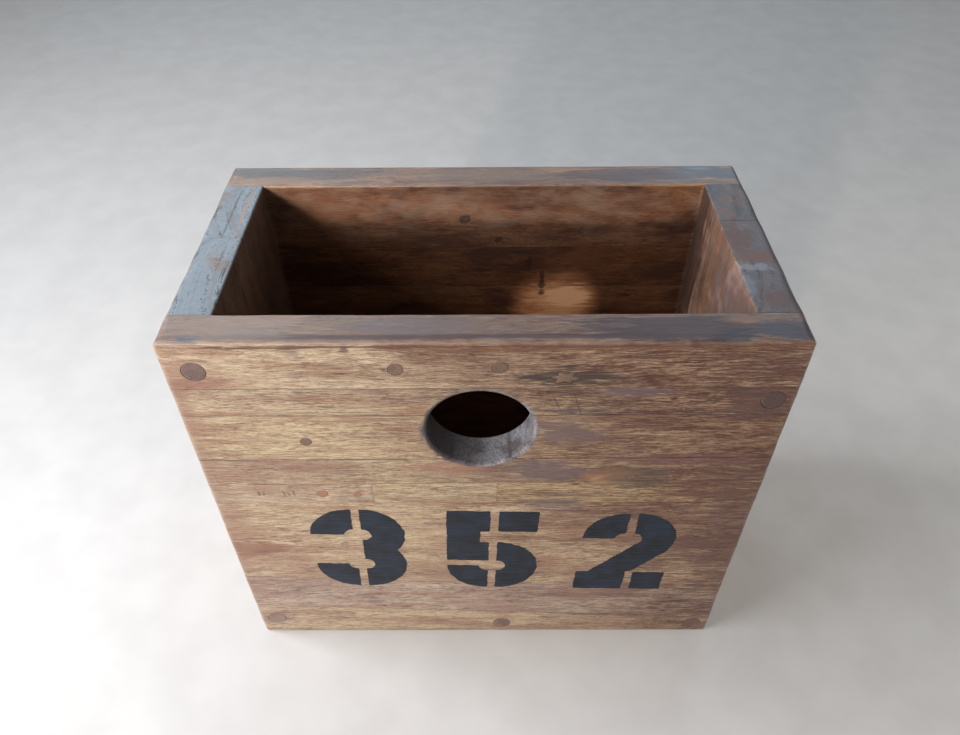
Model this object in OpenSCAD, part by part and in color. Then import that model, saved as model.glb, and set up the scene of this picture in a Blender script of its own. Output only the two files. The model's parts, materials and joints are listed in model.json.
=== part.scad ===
// Open-topped storage box made of reclaimed hardwood.
// The front and back panels are glued up from strips that lie along the box, and they cover
// the ends of the two side panels, whose boards stand upright. The base sits between all four.
// Screws through the panels are hidden under wooden plugs, and the front has a finger hole.
// Frame: origin at the middle of the base's underside, +Z up, the front faces -Y.

/* [Box] */
// Width over the outer faces
box_w = 285; // [230:1:380]
// Depth over the outer faces
box_d = 150; // [125:1:220]
// Height from the floor to the rim
box_h = 250; // [205:1:330]
// Thickness of the front panel
front_t = 19; // [15:0.5:26]
// Thickness of the back panel
back_t = 21; // [15:0.5:28]
// Thickness of the two side panels
side_t = 22; // [16:0.5:30]
// Thickness of the base
base_t = 20; // [14:0.5:28]

/* [Sanded edges] */
// Radius on the four upright corners
upright_r = 3; // [1:0.5:5]
// Radius on the long edges of the rim and the foot
rim_r = 1.5; // [1:0.5:5]
// Radius of the panel corners, seen from the front
corner_r = 4.5; // [1:0.5:8]

/* [Front panel] */
// Height of the strip at the rim
strip_1_h = 28; // [22:0.5:34]
// Height of the second strip
strip_2_h = 17.5; // [10:0.5:24]
// Height of the third strip, which the finger hole parts in two
strip_3_h = 31.5; // [22:0.5:38]
// Height of the fourth strip
strip_4_h = 19; // [12:0.5:26]
// Height of the fifth strip, which is pieced from three offcuts
strip_5_h = 17; // [10:0.5:24]
// Height of the seventh strip, above the foot strip
strip_7_h = 33; // [24:0.5:40]
// Height of the foot strip at the middle of the box
strip_8_h = 25; // [20:0.5:30]
// How far the third seam climbs from left to right
seam_3_climb = 1.5; // [0:0.5:3]
// How far the fourth seam climbs from left to right
seam_4_climb = 4; // [0:0.5:6]
// How far the two lowest seams fall from left to right
low_seam_fall = 16.5; // [0:0.5:20]
// Distance from the left end to the first joint in the pieced strip
piece_joint_1 = 84.5; // [60:0.5:100]
// Distance from the left end to the second joint in the pieced strip
piece_joint_2 = 149; // [120:0.5:180]

/* [Finger hole] */
// Diameter of the finger hole
hole_d = 51; // [30:1:56]
// Distance from the rim down to the middle of the hole
hole_drop = 56; // [45:1:70]
// Offset of the hole from the middle, to the right
hole_x = -2; // [-20:0.5:20]
// Radius worn round the hole's two rims
hole_ease = 2; // [0.5:0.5:3]

/* [Back panel] */
// Height of the back strip at the rim
back_1_h = 41; // [30:1:50]
// Height of the second back strip
back_2_h = 28; // [20:1:40]
// Height of the third back strip
back_3_h = 44; // [30:1:50]
// Height of the fourth back strip
back_4_h = 31; // [20:1:40]
// Height of the back strip at the foot
back_6_h = 34; // [26:1:46]

/* [Side panels and base] */
// Width of the rear board in the left side panel
left_rear_w = 50; // [36:1:66]
// Width of the rear board in the right side panel
right_rear_w = 36; // [32:1:66]
// Width of the rear board in the base
base_rear_w = 42; // [32:1:60]

/* [Screws and plugs] */
// Diameter of the wooden plugs over the screws
plug_d = 11; // [9:0.5:13]
// Depth of the plug bores
plug_l = 7; // [5:0.5:9]
// Length of the screws
screw_l = 40; // [32:1:45]
// Diameter over the screw thread
screw_d = 4; // [3:0.5:5]
// Diameter of the screw heads
screw_head_d = 8; // [7:0.5:9]
// Gap all round a screw, plug or peg in its hole
hole_gap = 0.05; // [0.02:0.01:0.1]
// How far the upper left screw of the front was driven off the middle of the side panel
left_screw_shift = 3.5; // [0:0.5:4]
// Distance from the rim to the left upper screw
left_screw_drop = 17; // [12:0.5:30]
// Distance from the rim to the right upper screw
right_screw_drop = 36; // [12:0.5:44]
// Height of the left lower screw above the floor
left_screw_rise = 17; // [10:0.5:30]
// Height of the right lower screw above the floor
right_screw_rise = 10; // [8:0.5:30]
// Offset of the base screws from the middle, to the right
base_screw_x = 10.5; // [-60:0.5:60]
// Depth of the pegs in old nail holes
peg_l = 6; // [4:0.5:8]

/* [Stencilled number] */
// Height of a numeral
numeral_h = 76; // [50:1:80]
// Width of a numeral
numeral_w = 52; // [42:1:58]
// Width of a painted stroke
stroke_w = 18.5; // [14:0.5:20]
// Width of the bridges that the stencil leaves
bridge_w = 4.5; // [2:0.5:6]
// Distance from one numeral's middle to the next
numeral_pitch = 75; // [60:1:80]
// Height of the number's middle above the floor
number_rise = 91.5; // [80:0.5:110]
// Offset of the number from the middle, to the right
number_x = 4.5; // [-10:0.5:10]
// Angle by which the number falls to the right
number_tilt = 1.6; // [0:0.1:3]
// Thickness of the paint
paint_t = 0.1; // [0.1:0.05:0.3]

/* [Hidden] */
$fn = 96;

front_y = -box_d / 2;
back_y = box_d / 2;
front_inner_y = front_y + front_t;
back_inner_y = back_y - back_t;
side_inner_x = box_w / 2 - side_t;
side_mid_x = box_w / 2 - side_t / 2;
hole_z = box_h - hole_drop;
past = 1;                               // how far a cutter runs past the face that it cuts

// Screw details that follow the screw's diameter
head_t = (screw_head_d - screw_d) / 2;  // a 90 degree countersunk head
thread_pitch = screw_d * 0.45;
thread_depth = screw_d * 0.14;
tip_l = screw_d * 1.2;
recess_w = screw_d * 0.25;

// ---- Seams -----------------------------------------------------------------------------

// Heights of the front panel's seams at the left and right end, from the rim down.
// The sixth strip takes what the others leave.
front_seams = [
    [box_h, box_h],
    level(box_h - strip_1_h),
    level(box_h - strip_1_h - strip_2_h),
    slanted(box_h - strip_1_h - strip_2_h - strip_3_h, seam_3_climb),
    slanted(box_h - strip_1_h - strip_2_h - strip_3_h - strip_4_h, seam_4_climb),
    level(box_h - strip_1_h - strip_2_h - strip_3_h - strip_4_h - strip_5_h),
    slanted(strip_8_h + strip_7_h, -low_seam_fall),
    slanted(strip_8_h, -low_seam_fall),
    [0, 0]
];

// Heights of the back panel's seams, from the rim down. The fifth strip takes what is left.
back_seams = [
    box_h,
    box_h - back_1_h,
    box_h - back_1_h - back_2_h,
    box_h - back_1_h - back_2_h - back_3_h,
    box_h - back_1_h - back_2_h - back_3_h - back_4_h,
    back_6_h,
    0
];

function level(z) = [z, z];
function slanted(z, climb) = [z - climb / 2, z + climb / 2];

// ---- Places of the fasteners --------------------------------------------------------------

// Front screws that hold the side panels, as [x, z]
front_corner_screws = [
    [-side_mid_x + left_screw_shift, box_h - left_screw_drop],
    [side_mid_x, box_h - right_screw_drop],
    [-side_mid_x, left_screw_rise],
    [side_mid_x, right_screw_rise]
];
// Back screws that hold the side panels
back_corner_screws = [
    [-side_mid_x, box_h - right_screw_drop],
    [side_mid_x, box_h - left_screw_drop],
    [-side_mid_x, right_screw_rise],
    [side_mid_x, left_screw_rise]
];
base_screw_z = base_t / 2;
side_screw_y = back_inner_y - base_rear_w - (box_d - front_t - back_t - base_rear_w) / 3;

// Pegs in the old nail holes of the front, as [x, drop from the rim, diameter]
front_pegs = [[-39, 16, 7], [7, 15, 7], [-86, 64, 5.5], [-84, 105, 5.5], [-66, 105.5, 4]];
// Pegs in the inner face of the back
back_pegs = [[-10.5, 21.5, 6], [56, 29.5, 4], [8.5, 35.5, 4]];

// Filler in the open knots of the front, as [x, drop from the rim, width, height]
knots = [[36, 21.5, 14, 10], [74, 92, 7.5, 4.5]];

// ---- Shapes that repeat -----------------------------------------------------------------

module rounded_rect(w, h, r) {
    square([w - 2 * r, h], center = true);
    square([w, h - 2 * r], center = true);
    for (x = [-1, 1], y = [-1, 1])
        translate([x * (w / 2 - r), y * (h / 2 - r)]) circle(r);
}

// The whole box as one block with sanded edges: every board is cut to this
module sanded_block() {
    intersection() {
        linear_extrude(box_h) rounded_rect(box_w, box_d, upright_r);
        translate([0, back_y, box_h / 2]) rotate([90, 0, 0])
            linear_extrude(box_d) rounded_rect(box_w, box_h, corner_r);
        translate([-box_w / 2, 0, box_h / 2]) rotate([90, 0, 90])
            linear_extrude(box_w) rounded_rect(box_d, box_h, rim_r);
    }
}

// A strip between two seams, from x0 to x1, lying against the plane y = y_back
module strip(top, bottom, x0, x1, y_back, t) {
    function at(seam, x) = seam[0] + (seam[1] - seam[0]) * (x / box_w + 0.5);
    intersection() {
        translate([0, y_back, 0]) rotate([90, 0, 0]) linear_extrude(t)
            polygon([[x0, at(bottom, x0)], [x1, at(bottom, x1)], [x1, at(top, x1)], [x0, at(top, x0)]]);
        sanded_block();
    }
}

// The finger hole as a cutter, with both rims worn round
module finger_hole() {
    r = hole_d / 2;
    translate([hole_x, front_y, hole_z]) rotate([-90, 0, 0]) {
        translate([0, 0, -past]) cylinder(r = r, h = front_t + 2 * past);
        rim_flare(r);
        translate([0, 0, front_t]) mirror([0, 0, 1]) rim_flare(r);
    }
}

module rim_flare(r) {
    rotate_extrude() difference() {
        translate([0, -past]) square([r + hole_ease, past + hole_ease]);
        translate([r + hole_ease, hole_ease]) circle(hole_ease);
    }
}

// A countersunk wood screw along +Z, its head's top at z = 0 and its tip at z = screw_l
module screw() {
    r = screw_d / 2;
    shank = screw_l * 0.4;
    turns = floor((screw_l - tip_l - shank) / thread_pitch);
    difference() {
        rotate_extrude() polygon(concat(
            [[0, 0], [screw_head_d / 2, 0], [r, head_t], [r, shank]],
            [for (i = [0:turns - 1]) each [
                [r - thread_depth, shank + (i + 0.25) * thread_pitch],
                [r, shank + (i + 0.6) * thread_pitch],
                [r - thread_depth, shank + (i + 0.95) * thread_pitch]]],
            [[0, screw_l]]
        ));
        for (turn = [0, 90]) rotate([0, 0, turn])
            translate([-recess_w * 2, -recess_w / 2, -past]) cube([recess_w * 4, recess_w, past + head_t * 0.7]);
    }
}

// The hole for a screw whose panel face is at z = 0: plug bore, countersink and pilot hole
module screw_bore() {
    translate([0, 0, -past]) cylinder(d = plug_d + 2 * hole_gap, h = past + plug_l);
    translate([0, 0, plug_l]) cylinder(r1 = screw_head_d / 2, r2 = screw_d / 2 + hole_gap, h = head_t - hole_gap);
    cylinder(r = screw_d / 2 + hole_gap, h = plug_l + screw_l);
}

module plug() {
    cylinder(d = plug_d, h = plug_l);
}

// Puts its children at each front place, with +Z running into the wood
module at_front(places) {
    for (p = places) translate([p[0], front_y, p[1]]) rotate([-90, 0, 0]) children();
}

module at_back(places) {
    for (p = places) translate([p[0], back_y, p[1]]) rotate([90, 0, 0]) children();
}

module at_sides() {
    for (side = [-1, 1])
        translate([side * box_w / 2, side_screw_y, base_screw_z]) rotate([0, -side * 90, 0]) children();
}

base_places = [[base_screw_x, base_screw_z]];

module all_screw_bores() {
    at_front(concat(front_corner_screws, base_places)) screw_bore();
    at_back(concat(back_corner_screws, base_places)) screw_bore();
    at_sides() screw_bore();
}

// ---- Front panel ------------------------------------------------------------------------

module front_peg_shape(p, gap) {
    translate([p[0], front_y, box_h - p[1]]) rotate([-90, 0, 0])
        translate([0, 0, gap > 0 ? -past : 0]) cylinder(d = p[2] + 2 * gap, h = peg_l + (gap > 0 ? past : 0));
}

// Outline of the filler in a knot: a ragged star, w wide and h high
module ragged_star(w, h) {
    reach = [1, 0.62, 0.86, 0.55, 0.92, 0.66, 1, 0.58, 0.9, 0.7, 0.84, 0.6];
    polygon([for (i = [0:len(reach) - 1]) let (a = i * 360 / len(reach))
        [w / 2 * reach[i] * cos(a), h / 2 * reach[i] * sin(a)]]);
}

module knot_shape(k, runs_past) {
    translate([k[0], front_y - runs_past, box_h - k[1]]) rotate([-90, 0, 0])
        linear_extrude(peg_l / 2 + runs_past) ragged_star(k[2], k[3]);
}

module front_strip(i, x0 = -box_w / 2, x1 = box_w / 2) {
    difference() {
        strip(front_seams[i - 1], front_seams[i], x0, x1, front_inner_y, front_t);
        finger_hole();
        at_front(concat(front_corner_screws, base_places)) screw_bore();
        for (p = front_pegs) front_peg_shape(p, hole_gap);
        for (k = knots) knot_shape(k, past);
    }
}

joint_1_x = piece_joint_1 - box_w / 2;
joint_2_x = piece_joint_2 - box_w / 2;

module front_strip_1() { color("#9a7a5e") front_strip(1); }
module front_strip_2() { color("#8c6a52") front_strip(2); }
module front_strip_3() { color("#96765a") front_strip(3); }
module front_strip_4() { color("#8f6c53") front_strip(4); }
module front_strip_5_left() { color("#a98a6c") front_strip(5, x1 = joint_1_x); }
module front_strip_5_middle() { color("#b39a78") front_strip(5, x0 = joint_1_x, x1 = joint_2_x); }
module front_strip_5_right() { color("#94734f") front_strip(5, x0 = joint_2_x); }
module front_strip_6() { color("#a07f60") front_strip(6); }
module front_strip_7() { color("#8d7364") front_strip(7); }
module front_strip_8() { color("#a5866a") front_strip(8); }

// ---- Back panel -------------------------------------------------------------------------

module back_peg_shape(p, gap) {
    translate([p[0], back_inner_y, box_h - p[1]]) rotate([-90, 0, 0])
        translate([0, 0, gap > 0 ? -past : 0]) cylinder(d = p[2] + 2 * gap, h = peg_l + (gap > 0 ? past : 0));
}

module back_strip(i) {
    difference() {
        strip(level(back_seams[i - 1]), level(back_seams[i]), -box_w / 2, box_w / 2, back_y, back_t);
        at_back(concat(back_corner_screws, base_places)) screw_bore();
        for (p = back_pegs) back_peg_shape(p, hole_gap);
    }
}

module back_strip_1() { color("#7d5c43") back_strip(1); }
module back_strip_2() { color("#6f4f38") back_strip(2); }
module back_strip_3() { color("#80603f") back_strip(3); }
module back_strip_4() { color("#75563f") back_strip(4); }
module back_strip_5() { color("#866548") back_strip(5); }
module back_strip_6() { color("#7a5a44") back_strip(6); }

// ---- Side panels ------------------------------------------------------------------------

// An upright board of a side panel, side -1 for the left, from y0 to y1
module upright_board(side, y0, y1) {
    difference() {
        intersection() {
            translate([side > 0 ? side_inner_x : -box_w / 2, y0, 0]) cube([side_t, y1 - y0, box_h]);
            sanded_block();
        }
        all_screw_bores();
    }
}

module left_board_front() { color("#6d6a6b") upright_board(-1, front_inner_y, back_inner_y - left_rear_w); }
module left_board_rear() { color("#64666a") upright_board(-1, back_inner_y - left_rear_w, back_inner_y); }
module right_board_front() { color("#75594a") upright_board(1, front_inner_y, back_inner_y - right_rear_w); }
module right_board_rear() { color("#5f5c61") upright_board(1, back_inner_y - right_rear_w, back_inner_y); }

// ---- Base -------------------------------------------------------------------------------

module base_board(y0, y1) {
    difference() {
        translate([-side_inner_x, y0, 0]) cube([2 * side_inner_x, y1 - y0, base_t]);
        all_screw_bores();
    }
}

module base_board_front() { color("#80604a") base_board(front_inner_y, back_inner_y - base_rear_w); }
module base_board_rear() { color("#735440") base_board(back_inner_y - base_rear_w, back_inner_y); }

// ---- Screws, plugs, pegs and fillers ------------------------------------------------------

module front_screw_plugs() { color("#6e5347") at_front(concat(front_corner_screws, base_places)) plug(); }
module back_screw_plugs() { color("#6e5347") at_back(concat(back_corner_screws, base_places)) plug(); }
module side_screw_plugs() { color("#6e5347") at_sides() plug(); }

module seated_screw() { translate([0, 0, plug_l]) screw(); }

module panel_screws() {
    color("#b8b09a") {
        at_front(front_corner_screws) seated_screw();
        at_back(back_corner_screws) seated_screw();
    }
}

module base_screws() {
    color("#b8b09a") {
        at_front(base_places) seated_screw();
        at_back(base_places) seated_screw();
        at_sides() seated_screw();
    }
}

module front_nail_pegs() { color("#5e4a40") for (p = front_pegs) front_peg_shape(p, 0); }
module back_nail_pegs() { color("#4a382e") for (p = back_pegs) back_peg_shape(p, 0); }
module knot_fillers() { color("#a58a72") for (k = knots) knot_shape(k, 0); }

// ---- Stencilled number --------------------------------------------------------------------

// The numerals are drawn about their middle, in plain strokes of one width.
half_w = numeral_w / 2;
half_h = numeral_h / 2;

// A ring of one stroke's width with round ends, w wide over all and h high
module bowl(w, h) {
    r = h / 2;
    flat = w - h;
    difference() {
        union() {
            translate([flat / 2, 0]) circle(r);
            translate([-flat / 2, 0]) circle(r);
            square([max(flat, 0.01), h], center = true);
        }
        union() {
            translate([flat / 2, 0]) circle(r - stroke_w);
            translate([-flat / 2, 0]) circle(r - stroke_w);
            square([max(flat, 0.01), h - 2 * stroke_w], center = true);
        }
    }
}

module bar(x0, y0, x1, y1) {
    translate([x0, y0]) square([x1 - x0, y1 - y0]);
}

bowl_h = (numeral_h + stroke_w) / 2;
bowl_mid = half_h - bowl_h / 2;
diagonal_a = 40;                        // slope of the 2's long stroke off the upright

// Places what it draws on the upper bowl's right end, turned to run along the 2's diagonal
module on_diagonal() {
    translate([(numeral_w - bowl_h) / 2, bowl_mid]) rotate([0, 0, -diagonal_a]) children();
}

module numeral_two() {
    difference() {
        union() {
            intersection() {
                translate([0, bowl_mid]) bowl(numeral_w, bowl_h);
                union() {
                    bar(-half_w, bowl_mid, half_w, half_h);
                    on_diagonal() square(bowl_h / 2);
                }
            }
            intersection() {
                on_diagonal() bar(bowl_h / 2 - stroke_w, -numeral_h, bowl_h / 2, 0);
                bar(-half_w, -half_h, half_w, half_h);
            }
            bar(-half_w, -half_h, half_w, -half_h + stroke_w);
        }
        bar(-bridge_w / 2, bowl_mid, bridge_w / 2, half_h + past);
        bar(half_w - stroke_w - bridge_w, -half_h - past, half_w - stroke_w, -half_h + stroke_w + past);
    }
}

module numeral_three() {
    difference() {
        for (side = [-1, 1]) intersection() {
            translate([0, side * bowl_mid]) bowl(numeral_w, bowl_h);
            union() {
                bar(0, -half_h, half_w, half_h);
                bar(-half_w, side > 0 ? bowl_mid : -half_h, half_w, side > 0 ? half_h : -bowl_mid);
            }
        }
        bar(-bridge_w / 2, -half_h - past, bridge_w / 2, half_h + past);
    }
}

module numeral_five() {
    difference() {
        union() {
            bar(-half_w, half_h - stroke_w, half_w * 0.92, half_h);
            bar(-half_w, -stroke_w / 2 + 2, -half_w + stroke_w, half_h);
            intersection() {
                translate([0, -bowl_mid]) bowl(numeral_w, bowl_h);
                union() {
                    bar(0, -half_h, half_w, half_h);
                    bar(-half_w, -half_h, half_w, -bowl_mid);
                }
            }
            bar(-half_w, -bowl_mid + bowl_h / 2 - stroke_w, 0, -bowl_mid + bowl_h / 2);
        }
        bar(-bridge_w / 2, -half_h - past, bridge_w / 2, half_h + past);
    }
}

module stencil_numerals() {
    color("#23272e") translate([number_x, front_y, number_rise]) rotate([90, 0, 0]) rotate([0, 0, -number_tilt])
        linear_extrude(paint_t) {
            translate([-numeral_pitch, 0]) numeral_three();
            numeral_five();
            translate([numeral_pitch, 0]) numeral_two();
        }
}

front_strip_1();
front_strip_2();
front_strip_3();
front_strip_4();
front_strip_5_left();
front_strip_5_middle();
front_strip_5_right();
front_strip_6();
front_strip_7();
front_strip_8();
back_strip_1();
back_strip_2();
back_strip_3();
back_strip_4();
back_strip_5();
back_strip_6();
left_board_front();
left_board_rear();
right_board_front();
right_board_rear();
base_board_front();
base_board_rear();
front_screw_plugs();
back_screw_plugs();
side_screw_plugs();
panel_screws();
base_screws();
front_nail_pegs();
back_nail_pegs();
knot_fillers();
stencil_numerals();
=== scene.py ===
"""The visible model of an open-topped storage box of reclaimed hardwood.

Every board of the box is rebuilt as a finely gridded piece with sanded edges, hairline glue
joints, plug holes and the finger hole, and gets solid wood with its own grain, tone and staining,
with painted light and shade inside the back and the right side, on the rim and in the finger hole.
Sizes are in millimetres up to the point where a mesh is made, which is in metres.
"""

import json
import math

import bmesh
import bpy
import numpy as np
from mathutils import Matrix, Vector
from mathutils.geometry import delaunay_2d_cdt


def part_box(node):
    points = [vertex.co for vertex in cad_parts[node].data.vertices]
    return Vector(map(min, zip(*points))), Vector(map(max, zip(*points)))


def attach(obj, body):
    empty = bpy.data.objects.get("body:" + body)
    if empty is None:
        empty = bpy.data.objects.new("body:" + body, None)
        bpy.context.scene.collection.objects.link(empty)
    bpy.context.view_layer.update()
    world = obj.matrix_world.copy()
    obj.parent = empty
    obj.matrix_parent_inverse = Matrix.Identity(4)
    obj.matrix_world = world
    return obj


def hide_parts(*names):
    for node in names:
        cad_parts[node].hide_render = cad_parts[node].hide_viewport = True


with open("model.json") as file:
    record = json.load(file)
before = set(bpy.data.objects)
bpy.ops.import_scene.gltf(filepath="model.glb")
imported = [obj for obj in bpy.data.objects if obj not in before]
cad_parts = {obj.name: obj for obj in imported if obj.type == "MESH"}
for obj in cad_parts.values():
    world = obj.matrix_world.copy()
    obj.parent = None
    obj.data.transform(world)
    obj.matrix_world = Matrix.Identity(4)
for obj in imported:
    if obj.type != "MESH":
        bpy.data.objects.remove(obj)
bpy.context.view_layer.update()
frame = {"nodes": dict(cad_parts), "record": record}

MM = 0.001
BOX_LO = np.array(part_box("front_strip_8")[0]) / MM
BOX_HI = np.array(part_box("back_strip_1")[1]) / MM
MIDDLE = (BOX_LO + BOX_HI) / 2
HALF = (BOX_HI - BOX_LO) / 2
RIM_Z = BOX_HI[2]
FRONT_Y = BOX_LO[1]
BACK_Y = BOX_HI[1]
INNER_FRONT_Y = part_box("front_strip_6")[1].y / MM
INNER_BACK_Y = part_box("back_strip_6")[0].y / MM
INNER_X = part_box("base_board_front")[1].x / MM

# Sanded edges of the glued-up box
UPRIGHT_R = 3.0
RIM_R = 1.5
CORNER_R = 4.5
INNER_RIM_R = 0.9
GLUE_EDGE_R = 0.16

# Hand sanding: how deep it goes on average and at most, how far in from a face it still moves
# points, and how much two neighbouring strips differ
SANDED = 0.09
SANDED_MOST = 0.3
SANDED_IN = 2.5
STRIP_DIFFERS = 0.09

# Finger hole, a 2 inch hole-saw cut with both rims worn round
HOLE_X = -2.0
HOLE_Z = RIM_Z - 56.0
HOLE_R = 25.5
HOLE_EASE = 2.0

# Grid lines of a board: distances from each edge, then even steps between
EDGE_LINES = (0.0, 0.12, 0.3, 0.6, 1.1, 1.8, 2.6, 3.5, 4.6, 6.0)
STEP_ALONG = 3.6
STEP_ACROSS = 2.4

# Places nearer than this, in mm, are the same place
SAME = 0.01


# ---- Numbers and colours --------------------------------------------------------------------

def linear(code):
    """An sRGB hex colour as linear RGBA."""
    parts = [int(code[i:i + 2], 16) / 255 for i in (1, 3, 5)]
    return [c / 12.92 if c <= 0.04045 else ((c + 0.055) / 1.055) ** 2.4 for c in parts] + [1.0]


def ripple(points, size, seed):
    """Smooth randomness over points in mm, mostly within -1 to 1, with swells about `size` long."""
    draw = np.random.default_rng(seed)
    total = np.zeros(len(points))
    waves = 9
    for _ in range(waves):
        way = draw.normal(size=3)
        way *= 2 * math.pi / size * draw.uniform(0.6, 1.5) / np.linalg.norm(way)
        total += np.sin(points @ way + draw.uniform(0, 2 * math.pi))
    return total / math.sqrt(waves)


def fade(value, full, none):
    """1 at `full`, 0 at `none`, smooth between."""
    t = np.clip((value - none) / (full - none), 0, 1)
    return t * t * (3 - 2 * t)


# ---- Meshes ---------------------------------------------------------------------------------

def new_piece(name, verts_mm, faces, material=None, slot=None):
    mesh = bpy.data.meshes.new(name)
    mesh.from_pydata((np.asarray(verts_mm) * MM).tolist(), [], faces)
    mesh.update()
    piece = bpy.data.objects.new(name, mesh)
    bpy.context.scene.collection.objects.link(piece)
    if material:
        mesh.materials.append(material)
    return piece


def shade(piece, sharp_degrees=50):
    piece.data.polygons.foreach_set("use_smooth", [True] * len(piece.data.polygons))
    piece.data.set_sharp_from_angle(angle=math.radians(sharp_degrees))


def points_of(mesh):
    flat = np.empty(len(mesh.vertices) * 3)
    mesh.vertices.foreach_get("co", flat)
    return flat.reshape(-1, 3) / MM


def set_attribute(mesh, name, values):
    attribute = mesh.attributes.new(name, "FLOAT", "POINT")
    attribute.data.foreach_set("value", np.asarray(values, dtype=np.float32))


def box_mm(node):
    """Lowest and highest corner of a CAD node, in mm."""
    return [np.array(corner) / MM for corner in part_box(node)]


def rule(length, step):
    """Places along an edge where a board's grid lines cross it."""
    near = [t for t in EDGE_LINES if t < length * 0.4]
    middle = length - 2 * near[-1]
    count = max(1, round(middle / step))
    inner = [near[-1] + middle * i / count for i in range(1, count)]
    return np.array(near + inner + [length - t for t in reversed(near)])


def block_skin(counts):
    """Grid indices and quads of a block's six faces."""
    number = {}
    quads = []
    for axis in range(3):
        first, second = [a for a in range(3) if a != axis]
        for end in (0, counts[axis] - 1):
            outward = (end > 0) == (axis != 1)
            for p in range(counts[first] - 1):
                for q in range(counts[second] - 1):
                    loop = []
                    for dp, dq in ((0, 0), (1, 0), (1, 1), (0, 1)):
                        key = [0, 0, 0]
                        key[axis], key[first], key[second] = end, p + dp, q + dq
                        loop.append(number.setdefault(tuple(key), len(number)))
                    quads.append(loop if outward else loop[::-1])
    return np.array(list(number)), quads


def board_ends(node):
    """Lowest and highest z of a board at its left and at its right end, in mm."""
    spots = points_of(frame["nodes"][node].data)
    low, high = box_mm(node)
    flat = INNER_FRONT_Y if high[1] < MIDDLE[1] else INNER_BACK_Y
    spots = spots[np.abs(spots[:, 1] - flat) < SAME]
    ends = []
    for x in (low[0], high[0]):
        column = spots[np.abs(spots[:, 0] - x) < SAME][:, 2]
        if not len(column):
            ends.append((low[2], high[2]))
            continue
        bottom = low[2] if low[2] < SAME else column.min()
        top = high[2] if high[2] > RIM_Z - SAME else column.max()
        ends.append((bottom, top))
    return ends


def board_lines(node, x):
    """z of a board's bottom and of its top at every x, in mm."""
    low, high = box_mm(node)
    (left_bottom, left_top), (right_bottom, right_top) = board_ends(node)
    t = (x - low[0]) / (high[0] - low[0])
    return left_bottom + (right_bottom - left_bottom) * t, left_top + (right_top - left_top) * t


def round_outer_edges(p):
    """Moves the points beyond the sanded edges of the whole box onto them."""
    worn = 1 + 0.1 * ripple(p, 38, 5) + 0.05 * ripple(p, 12, 6)
    for a, b, radius in ((0, 2, CORNER_R), (0, 1, UPRIGHT_R), (1, 2, RIM_R)):
        r = radius * np.clip(worn, 0.6, 1.5)
        side_a, side_b = p[:, a] - MIDDLE[a], p[:, b] - MIDDLE[b]
        over_a = np.abs(side_a) - (HALF[a] - r)
        over_b = np.abs(side_b) - (HALF[b] - r)
        reach = np.hypot(over_a, over_b)
        out = (over_a > 0) & (over_b > 0) & (reach > r)
        pull = np.where(out, r / np.maximum(reach, 1e-9), 1)
        p[:, a] = np.where(out, MIDDLE[a] + np.sign(side_a) * (HALF[a] - r + over_a * pull), p[:, a])
        p[:, b] = np.where(out, MIDDLE[b] + np.sign(side_b) * (HALF[b] - r + over_b * pull), p[:, b])
    return p


def from_opening(p):
    """How far each point lies outside the box's inner rectangle, and past which of its sides."""
    gaps = np.stack([p[:, 0] - INNER_X, -INNER_X - p[:, 0],
                     p[:, 1] - INNER_BACK_Y, INNER_FRONT_Y - p[:, 1]], 1)
    return gaps.max(1), gaps.argmax(1)


def round_inner_rim(p):
    gap, side = from_opening(p)
    r = INNER_RIM_R * np.clip(1 + 0.15 * ripple(p, 25, 8), 0.6, 1.5)
    over_side, over_top = r - gap, p[:, 2] - (RIM_Z - r)
    reach = np.hypot(over_side, over_top)
    out = (gap > -SAME) & (over_side > 0) & (over_top > 0) & (reach > r)
    pull = np.where(out, r / np.maximum(reach, 1e-9), 1)
    shift = over_side * (1 - pull)
    for number, (axis, way) in enumerate(((0, 1), (0, -1), (1, 1), (1, -1))):
        p[:, axis] += np.where(out & (side == number), way * shift, 0)
    p[:, 2] = np.where(out, RIM_Z - r + over_top * pull, p[:, 2])
    return p


def hand_sand(p, seed):
    """Draws the outer faces in by a few tenths of a millimetre, unevenly, as hand sanding does."""
    draw = np.random.default_rng(seed)
    low_side, high_side = draw.uniform(0.0, STRIP_DIFFERS, 2)
    span = p[:, 2].max() - p[:, 2].min()
    lift = (p[:, 2] - p[:, 2].min()) / max(span, 1)
    own = low_side + (high_side - low_side) * lift
    depth = np.clip(SANDED + 0.035 * ripple(p, 70, 21) + 0.012 * ripple(p, 18, 22), 0, SANDED_MOST)
    for axis, face, way in ((1, FRONT_Y, 1), (1, BACK_Y, -1), (0, BOX_LO[0], 1), (0, BOX_HI[0], -1),
                            (2, RIM_Z, -1)):
        near = fade(np.abs(p[:, axis] - face), 0.0, SANDED_IN)
        p[:, axis] += way * near * (depth + (own if axis == 1 else 0))
    return p


def glue_radius(x, loose):
    """Radius of a board's glued edge: a loose joint opens up over part of its length."""
    if loose is None:
        return np.full(len(x), GLUE_EDGE_R)
    start, end, radius = loose
    share = fade(x, start + 12, start) * fade(x, end - 12, end)
    return GLUE_EDGE_R + (radius - GLUE_EDGE_R) * share


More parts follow.
